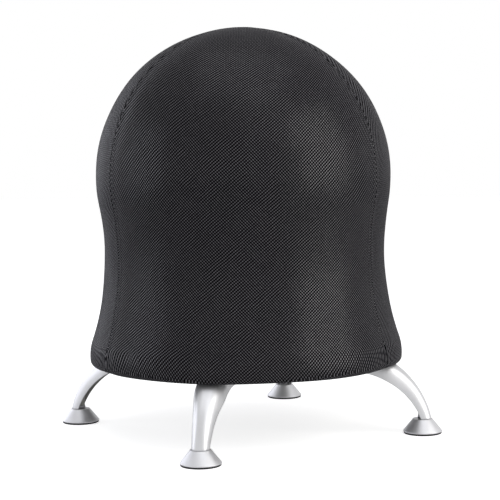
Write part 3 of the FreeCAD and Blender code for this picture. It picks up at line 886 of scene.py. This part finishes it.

# %% [markdown]
# Two rings of short stitches hold the tape down, one along each of its edges, and follow its ripple.

# %% Hem stitching
HEM_STITCHES = 300
HEM_STITCH_ROWS = (1.6 * MM, 8.0 * MM)      # in from the tape's outer edge
stitch = small_stitch(2.6 * MM, 0.6 * MM)
frames = []
for inset in HEM_STITCH_ROWS:
    r = tape_outer - inset
    for k in range(HEM_STITCHES):
        a = 2 * math.pi * k / HEM_STITCHES
        z = tape_low.z - tape_ripple(a) + 0.1 * MM
        around = Vector((-math.sin(a), math.cos(a), 0))
        frames.append(((around, UP.cross(around), UP), (r * math.cos(a), r * math.sin(a), z)))
hem_stitches = scatter("hem_stitches", stitch, frames)
dress(hem_stitches, thread, "root")
discard(stitch)

# %% [markdown]
# The tray is black moulded plastic with a fine spark-eroded grain. It stays the frame's own part,
# because its ribs and bosses already have their real form, and gets a better finish: grain in the
# bump, and patches that are slightly greyer and rougher.

# %% Tray
tray_plastic = grained(
    "tray_plastic_black", grey(0.03), 0.55, (grey(0.022), grey(0.042, 0.002)),
    1100.0, 7.0, (0.3, 0.2 * MM), (0.46, 0.64), Specular_IOR_Level=0.45)
dress(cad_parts["base_tray"], tray_plastic)

# %% [markdown]
# The legs are castings with a satin silver coat. The coat is a metal flake paint, so it mirrors
# softly: nearly white where it faces the light, with a slow change of roughness and a faint orange
# peel. The inside of the channel is rougher, and its colour is painted dark as painted shade. The
# pressed cups are a plain metal's grey with fine turning lines round them, and so are the screws and
# stems.

# %% Metal materials
INSIDE_DULLER = 0.3         # added to the roughness there

silver, w, shader = principled(
    "satin_silver", grey(0.72, 0.006), 0.42, Metallic=0.85, Specular_IOR_Level=0.4)
inside = w.node("Attribute", attribute_name="inside").outputs["Fac"]
skin = use_group(w, grain_group, Vector=w.own_place(), Scale=700.0, Patches=22.0)
coat = w.blend(skin["Tone"], (0.69, 0.693, 0.71, 1), (0.76, 0.762, 0.775, 1))
# painted shade: the inside of the channel is painted dark grey
w.link(w.blend(inside, coat, (0.34, 0.34, 0.32, 1)), shader.inputs["Base Color"])
rough = w.band(skin["Tone"], 0.3, 0.7, 0.39, 0.46)
w.link(w.math("MULTIPLY_ADD", inside, INSIDE_DULLER, rough), shader.inputs["Roughness"])
add_bump(w, shader, skin["Height"], 0.03, 0.05 * MM)


def turned_metal(name, dark, light, rough, pitch, metallic=1.0):
    """Metal with fine lines round the piece, by height on its own coordinates."""
    material, w, shader = principled(name, light, rough, Metallic=metallic)
    place = w.own_place()
    skin = use_group(w, grain_group, Vector=place, Scale=900.0, Patches=40.0)
    sway = w.math("MULTIPLY_ADD", skin["Tone"], pitch * 3, w.split(place)["Z"])
    lines = use_group(w, ribbing_group, Position=sway, Pitch=pitch)
    mix = w.math("MULTIPLY_ADD", lines["Line"], 0.4, w.math("MULTIPLY", skin["Tone"], 0.6))
    w.link(w.blend(mix, dark, light), shader.inputs["Base Color"])
    w.link(w.band(mix, 0.2, 0.8, rough - 0.06, rough + 0.08), shader.inputs["Roughness"])
    add_bump(w, shader, lines["Line"], 0.08, 0.05 * MM)
    return material


cup_metal = turned_metal("cup_silver", (0.62, 0.62, 0.64, 1), (0.76, 0.76, 0.78, 1), 0.46, 0.5 * MM, 0.8)
dark_zinc = turned_metal("dark_zinc", (0.16, 0.16, 0.17, 1), (0.27, 0.27, 0.28, 1), 0.36, 0.3 * MM)
bright_zinc = turned_metal("bright_zinc", (0.52, 0.53, 0.55, 1), (0.66, 0.67, 0.69, 1), 0.3, 0.3 * MM)
brass = turned_metal("plain_brass", (0.62, 0.44, 0.18, 1), (0.80, 0.60, 0.28, 1), 0.3, 0.5 * MM)
dress(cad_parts["leg_inserts"], brass)

# %% [markdown]
# A leg is an open channel: an arched skin bent round one arc from the tray down to the foot, and
# narrower on the way. The arch is a squared-off ellipse, so crown and side walls are one smooth form
# and the shine runs over it without a break. It is laid out as a grid wrapped over that form: one
# direction of the grid runs round the channel's section, and the other along the leg. Every place on
# it follows from the arcs and from how far in from the skin it lies, which keeps the shine clean
# where a boolean cut would leave ragged shading. The flat pad on top is the same skin cut off level.
# Then the ends are filled, the edges get a small cast rounding, and the boss and the pad's inner end
# wall are added inside.

# %% Leg
leg_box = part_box("leg_right")
stem_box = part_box("glide_stem_right")
foot_r = (stem_box[0].x + stem_box[1].x) / 2
leg_top, leg_low = leg_box[1].z, leg_box[0].z
leg_inner, leg_outer = leg_box[0].x, leg_box[1].x
OUTER_ARC = 123.9 * MM
OUTER_RISE = 19.8 * MM
UNDER_ARC = 104.4 * MM
PAD_DEPTH = 11.0 * MM
END_INSIDE = 0.6 * MM
ARCH = 2.8                  # 2 would be an ellipse, and more is squarer
SKIN, PLATE = 3.5 * MM, 5.5 * MM    # metal of the arch, and of the flat pad
PAD_HALF, PAD_LONG = 21.5 * MM, 104 * MM
KNEE_HALF, END_HALF = 15.7 * MM, 11.4 * MM
BOSS, BOSS_DEEP = 6.5 * MM, 12 * MM
EDGE = 50.0                 # degrees from which an edge is rounded
outer_z = leg_top + OUTER_RISE - OUTER_ARC
outer_x = leg_outer - math.sqrt(OUTER_ARC**2 - (leg_low - outer_z) ** 2)
under_z = leg_top - PAD_DEPTH - UNDER_ARC
under_x = foot_r - END_INSIDE - math.sqrt(UNDER_ARC**2 - (leg_low - under_z) ** 2)
plan_x = [leg_inner, leg_inner + PAD_LONG, foot_r - 20 * MM, foot_r + 6 * MM, leg_outer + 30 * MM]
plan_y = [PAD_HALF, PAD_HALF, KNEE_HALF, END_HALF, END_HALF]


def rounded_plan(reach=7):
    """The leg's half width against x, with its corners averaged away over 2 * reach + 1 places."""
    fine = np.linspace(plan_x[0], plan_x[-1], 200)
    padded = np.pad(np.interp(fine, plan_x, plan_y), reach, mode="edge")
    return fine, np.convolve(padded, np.ones(2 * reach + 1) / (2 * reach + 1), mode="valid")


leg_plan = rounded_plan()


def leg_place(share, turn, side, inset):
    """One place on the leg. turn goes from the arch's crown at 0 to its edge at a right angle."""
    level = leg_top if inset == 0 else leg_top - PLATE
    across, high = math.sin(turn), math.cos(turn)
    stretch = (across**ARCH + high**ARCH) ** (-1 / ARCH)
    ring = OUTER_ARC - inset
    for _ in range(3):
        first = math.asin((leg_inner - outer_x) / ring)
        last = math.acos((leg_low - outer_z) / ring)
        angle = first + (last - first) * share
        half = float(np.interp(outer_x + ring * math.sin(angle), *leg_plan)) - inset
        low = under_ring(angle)
        ring = low + (OUTER_ARC - inset - low) * high * stretch
        ring = min(ring, (level - outer_z) / math.cos(angle))
    y = side * half * across * stretch
    return (outer_x + ring * math.sin(angle), y, outer_z + ring * math.cos(angle))


def under_ring(angle):
    """Distance from the outer arc's centre to the walls' lower edge, along an angle."""
    s, c = math.sin(angle), math.cos(angle)
    level = (leg_top - PAD_DEPTH - outer_z) / c
    if outer_x + level * s < under_x:
        return level
    dx, dz = outer_x - under_x, outer_z - under_z
    b = dx * s + dz * c
    return -b + math.sqrt(b * b - (dx * dx + dz * dz - UNDER_ARC**2))


ARCH_STEPS, LEG_STEPS = 22, 84
TURNS = [math.pi / 2 * k / ARCH_STEPS for k in range(ARCH_STEPS + 1)]
AROUND = ([(turn, 1, 0.0) for turn in TURNS] + [(turn, 1, SKIN) for turn in TURNS[::-1]]
          + [(turn, -1, SKIN) for turn in TURNS[1:]] + [(turn, -1, 0.0) for turn in TURNS[:0:-1]])


def mark_inside(obj, values):
    """Marks the inside of the casting, which is rougher and painted dark as painted shade."""
    layer = obj.data.attributes.new("inside", "FLOAT", "POINT")
    layer.data.foreach_set("value", values)


def middle_of_skin(x):
    return outer_z + np.sqrt((OUTER_ARC - SKIN / 2) ** 2 - (x - outer_x) ** 2)


def make_leg():
    clear()
    columns = len(AROUND)
    bpy.ops.mesh.primitive_grid_add(x_subdivisions=columns, y_subdivisions=LEG_STEPS, size=1.0)
    obj = bpy.context.object
    co = points_of(obj)
    across = np.rint((co[:, 0] + 0.5) * columns).astype(int) % columns
    along = co[:, 1] + 0.5
    set_points(obj, np.array([leg_place(share, *AROUND[column]) for column, share in zip(across, along)]))
    mark_inside(obj, [float(AROUND[column][2] > 0) for column in across])
    enter(obj)
    bpy.ops.mesh.remove_doubles(threshold=0.02 * MM)
    bpy.ops.mesh.select_mode(type="EDGE")
    bpy.ops.mesh.select_all(action="DESELECT")
    bpy.ops.mesh.select_non_manifold(
        extend=False, use_wire=False, use_boundary=True, use_multi_face=False,
        use_non_contiguous=False, use_verts=False)
    bpy.ops.mesh.fill(use_beauty=True)
    bpy.ops.mesh.select_all(action="SELECT")
    bpy.ops.mesh.normals_make_consistent(inside=False)
    leave()
    sharp = {"limit_method": "ANGLE", "angle_limit": math.radians(EDGE)}
    round_edges(obj, 0.6 * MM, **sharp)
    boss_top = float(middle_of_skin(foot_r))
    boss_low = stem_box[1].z - BOSS_DEEP
    boss = round_edges(bar(40, BOSS, boss_low, boss_top, foot_r), 0.5 * MM, **sharp)
    co = points_of(boss)
    co[:, 2] = np.where(co[:, 2] > (boss_top + boss_low) / 2, middle_of_skin(co[:, 0]), co[:, 2])
    set_points(boss, co)
    wall_high = leg_top - PLATE + 1 * MM
    wall_low = leg_top - PAD_DEPTH + 0.2 * MM
    wall_x = leg_inner + SKIN / 2 + 0.1 * MM
    bpy.ops.mesh.primitive_cube_add(size=1.0, location=(wall_x, 0, (wall_high + wall_low) / 2))
    wall = bpy.context.object
    wall.scale = (SKIN, 2 * (PAD_HALF - SKIN) + 1 * MM, wall_high - wall_low)
    round_edges(settle(wall), 0.5 * MM)
    for extra in (boss, wall):
        mark_inside(extra, [1.0] * len(extra.data.vertices))
    return smooth_below(join("leg_casting", [obj, boss, wall]), 38)


def four_round(source, label, material, body, node):
    """A dressed copy for each leg, carried by its own body or by a shared one."""
    for side, degrees in LEG_DIRECTIONS.items():
        one = copy_of(source, label + side, math.radians(degrees))
        dress(one, material, body + side if body.endswith("_") else body, node + side)
    discard(source)


four_round(make_leg(), "leg_casting_", silver, "root", "leg_")

# %% [markdown]
# Each glide is a threaded stem with a hexagon collar, a pressed cup and a nylon pad. The cup and the
# pad are turned from soft outlines. The thread is a single tooth wound upwards by a Screw modifier
# over a plain core, because the stem comes into view when the glide is screwed out.

# %% Glides
nylon = grained(
    "nylon_black", grey(0.012), 0.55, (grey(0.008), grey(0.018)),
    1800.0, 50.0, (0.25, 0.1 * MM), Specular_IOR_Level=0.25)

cup_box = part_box("glide_cup_right")
pad_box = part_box("glide_pad_right")
cup_base = (cup_box[1].x - cup_box[0].x) / 2
cup_low, cup_high = cup_box[0].z, cup_box[1].z
pad_r = (pad_box[1].x - pad_box[0].x) / 2
CUP_TOP = 14.0 * MM
CUP_WALL = 1.6 * MM
CUP_LIP = 1.3 * MM
STEM_HOLE = 4.35 * MM
HEX, HEX_HIGH = 13.0 * MM, 4.9 * MM
STEM, ROOT = 4.0 * MM, 3.4 * MM         # radius of the thread's crest and of its root
STEM_HEAD, HEAD_THICK = 8.0 * MM, 3.0 * MM
PITCH, CREST = 1.25 * MM, 0.16 * MM
PAD_STEP = 1.1 * MM                     # that the cup rests round
HUB_FOOT, HUB, HUB_DISH = 12.0 * MM, 10.8 * MM, 3.0 * MM
under_cup = cup_high - CUP_WALL
cup_inside = cup_base - CUP_WALL - 0.8 * MM
cup_line = soften([
    (STEM_HOLE, under_cup), (CUP_TOP - 1.2 * MM, under_cup), (cup_inside, cup_low + CUP_LIP),
    (cup_inside, cup_low), (cup_base, cup_low), (cup_base, cup_low + CUP_LIP), (CUP_TOP, cup_high),
    (STEM_HOLE, cup_high), (STEM_HOLE, under_cup),
], 0.55 * MM)
cup = lathe("cup", cup_line, 112, foot_r)
step_r = cup_base - 3.2 * MM
step_z = cup_low + PAD_STEP
pad_line = soften([
    (0, 0), (pad_r, 0), (pad_r, cup_low), (step_r, cup_low), (step_r, step_z), (HUB_FOOT, step_z),
    (HUB, pad_box[1].z), (0, pad_box[1].z - HUB_DISH),
], 0.8 * MM)
pad = lathe("pad", pad_line, 96, foot_r)

collar_low = cup_high + 0.3 * MM
collar_high = collar_low + HEX_HIGH
stem_low, stem_top = stem_box[0].z, stem_box[1].z
over_head = stem_low + HEAD_THICK
core_line = soften([
    (0, stem_low), (STEM_HEAD, stem_low), (STEM_HEAD, over_head), (ROOT, over_head),
    (ROOT, stem_top - 0.5 * MM), (ROOT - 0.8 * MM, stem_top), (0, stem_top),
], 0.3 * MM)
core = lathe("core", core_line, 48, foot_r)
turns = int((stem_top - collar_high) / PITCH) - 1
buried = ROOT - 0.1 * MM
tooth = draw_line("thread", [
    (buried, 0, 0), (STEM, 0, (PITCH - CREST) / 2), (STEM, 0, (PITCH + CREST) / 2), (buried, 0, PITCH)])
leave()
modify(tooth, "SCREW", screw_offset=PITCH, angle=2 * math.pi, iterations=turns + 1, steps=32,
       render_steps=32, axis="Z", use_merge_vertices=True, merge_threshold=0.01 * MM)
tooth.location = (foot_r, 0, collar_high - PITCH / 2)
tidy(settle(tooth), 30)
collar = round_edges(bar(6, HEX / math.sqrt(3), collar_low, collar_high, foot_r), 0.5 * MM)
neck_low, neck_high = cup_high - 4 * MM, collar_low + 0.5 * MM
neck_line = [(ROOT, neck_low), (STEM, neck_low), (STEM, neck_high), (ROOT, neck_high)]
neck = lathe("neck", neck_line, 48, foot_r)
stem = smooth_below(join("stem", [core, tooth, collar, neck]), 30)

four_round(cup, "pressed_cup_", cup_metal, "glide_", "glide_cup_")
four_round(pad, "nylon_pad_", nylon, "glide_", "glide_pad_")
four_round(stem, "threaded_stem_", dark_zinc, "stem_", "glide_stem_")

# %% [markdown]
# Two button-head screws with washers hold each leg. The head is turned from a domed outline, and a
# hexagon prism is cut out of it for the key. One screw and one washer are modelled and copied.

# %% Screws and washers
screw_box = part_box("leg_bolts")
washer_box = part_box("leg_washers")
HEAD, HEAD_HIGH = 7.0 * MM, 4.4 * MM
SHANK, POINT = 4.0 * MM, 1.0 * MM
KEY, KEY_DEEP = 5.0 * MM, 2.6 * MM
WASHER_HOLE, WASHER = 4.5 * MM, 8.0 * MM
screw_places = [leg_inner + 17 * MM, leg_inner + 57 * MM]
head_low, screw_top = screw_box[0].z, screw_box[1].z
under_head = head_low + HEAD_HIGH
screw_line = soften([
    (0, head_low), (4.3 * MM, head_low), (6.3 * MM, head_low + 1.3 * MM), (HEAD, head_low + 2.7 * MM),
    (HEAD, under_head), (SHANK, under_head), (SHANK, screw_top - POINT), (SHANK - POINT, screw_top),
    (0, screw_top),
], 0.6 * MM)
screw = lathe("screw", screw_line, 48)
key = bar(6, KEY / math.sqrt(3), head_low - KEY_DEEP, head_low + KEY_DEEP)
modify(screw, "BOOLEAN", operation="DIFFERENCE", object=key, solver="EXACT")
discard(key)
tidy(screw, 30)
low, high = washer_box[0].z, washer_box[1].z
washer_line = soften([
    (WASHER_HOLE, low), (WASHER, low), (WASHER, high), (WASHER_HOLE, high), (WASHER_HOLE, low),
    (WASHER_HOLE + 0.5 * MM, low),
], 0.25 * MM, 2)
washer = lathe("washer", washer_line, 56)
for source, node, label in ((screw, "leg_bolts", "leg_screws"), (washer, "leg_washers", "plain_washers")):
    copies = [
        copy_of(source, label, math.radians(turn), (r, 0, 0))
        for turn in LEG_DIRECTIONS.values() for r in screw_places
    ]
    dress(join(label, copies), bright_zinc, "root", node)
    discard(source)

# %% [markdown]
# The picture is a plain studio shot on white. The pale floor reflects the lamps and takes the chair's
# soft shadow, and what it then lacks in white is added for the camera alone, with a little for
# reflections. The world is white to the camera too. In the silver it is white at the horizon and
# paler grey overhead, and it lights the chair with less than a third of that, so the white
# background puts next to no light on the black cover.

# %% Floor and world
FLOOR_SEEN, FLOOR_MIRRORED = 0.75, 0.15     # added to what the floor reflects of the lamps
WORLD_LIGHT = 0.3                           # on surfaces, where 1 is the white background
OVERHEAD = 0.7                              # of the white, in reflections from above

clear()
bpy.ops.mesh.primitive_plane_add(size=14.0, location=(0, 0, 0))
floor = bpy.context.object
floor.name = "studio_floor"
material, w, shader = principled("studio_floor", grey(0.80), 0.9, Specular_IOR_Level=0.1)
path = w.node("LightPath")
seen = w.math("MAXIMUM", path.outputs["Is Camera Ray"], path.outputs["Is Transmission Ray"])
emission = w.node("Emission")
emission.inputs["Color"].default_value = grey(1.0)
mirrored = w.math("MULTIPLY", path.outputs["Is Glossy Ray"], FLOOR_MIRRORED)
w.link(w.math("MULTIPLY_ADD", seen, FLOOR_SEEN, mirrored), emission.inputs["Strength"])
both = w.node("AddShader")
w.link(shader.outputs[0], both.inputs[0])
w.link(emission.outputs[0], both.inputs[1])
output = w.tree.nodes["Material Output"]
w.link(both.outputs[0], output.inputs["Surface"])
wear(floor, material)

world = bpy.data.worlds.new("studio")
bpy.context.scene.world = world
world.use_nodes = True
w = Wiring(world.node_tree)
background = world.node_tree.nodes["Background"]
path = w.node("LightPath")
way = w.split(w.node("TexCoord").outputs["Generated"])
horizon = w.band(way["Z"], 0.05, 0.5, 1.0, OVERHEAD)
mirrored = w.math("MULTIPLY", horizon, path.outputs["Is Glossy Ray"])
seen = w.math("MAXIMUM", path.outputs["Is Camera Ray"], path.outputs["Is Transmission Ray"])
seen = w.math("MAXIMUM", seen, mirrored)
lit = w.math("MULTIPLY", path.outputs["Is Diffuse Ray"], WORLD_LIGHT)
background.inputs["Color"].default_value = grey(1.0)
w.link(w.math("MAXIMUM", seen, lit), background.inputs["Strength"])

# %% [markdown]
# The photo shows a soft band of light down the cover's right side, pale cool rims at the left and a
# lit top. A tall soft key lamp stands at the right for the band, two weak bluish ones at the left
# and behind it for the rims, and two more lift the dome from high in front and from above.


# %% Lamps
def stand(data, place, target, roll=0.0):
    """Puts a lamp or the camera at a place, pointed at the target and rolled by degrees."""
    obj = bpy.data.objects.new(data.name, data)
    bpy.context.scene.collection.objects.link(obj)
    obj.location = place
    obj.rotation_mode = "QUATERNION"
    turn = Matrix.Rotation(math.radians(roll), 4, "Z").to_quaternion()
    obj.rotation_quaternion = (Vector(target) - Vector(place)).to_track_quat("-Z", "Y") @ turn
    return obj


def lamp(name, place, size, watts, tint):
    data = bpy.data.lights.new(name, "AREA")
    data.shape = "RECTANGLE"
    data.size, data.size_y = size
    data.energy = watts
    data.color = tint
    stand(data, place, MIDDLE)
    print("lamp", name, "size m", size, "watts", watts)


MIDDLE = (0, 0, 0.32)       # that every lamp points at
lamp("key", (2.260, -0.56, 0.88), (1.8, 2.6), 37.0, (1.0, 0.98, 0.95))
lamp("left", (-2.206, -0.803, 0.819), (1.6, 1.6), 10.5, (0.88, 0.90, 1.0))
lamp("left_rear", (-2.033, 1.174, 0.819), (1.6, 1.6), 11.5, (0.88, 0.90, 1.0))
lamp("front_high", (1.091, -1.300, 2.017), (1.8, 1.8), 6.0, (0.97, 0.98, 1.0))
lamp("top", (0, -0.3, 2.8), (2.2, 2.2), 15.0, (0.95, 0.96, 1.0))

# %% [markdown]
# The camera stands where the photograph was taken: about 2.2 m away, a little above the seat's
# middle, turned 13.75 degrees round from the front leg, with a long lens and under a degree of roll.

# %% Camera
LENS, SENSOR = 110.71, 36.0             # mm
ROLL_DEGREES = -0.87
EYE = (0.5313, -2.1712, 0.4415)
TARGET = (0.00774, 0.00189, 0.2613)
data = bpy.data.cameras.new("camera")
data.lens = LENS
data.sensor_width = SENSOR
bpy.context.scene.camera = stand(data, EYE, TARGET, ROLL_DEGREES)
bpy.context.scene.view_settings.view_transform = "Standard"
print("camera", round((Vector(TARGET) - Vector(EYE)).length, 3), "m from what it points at")
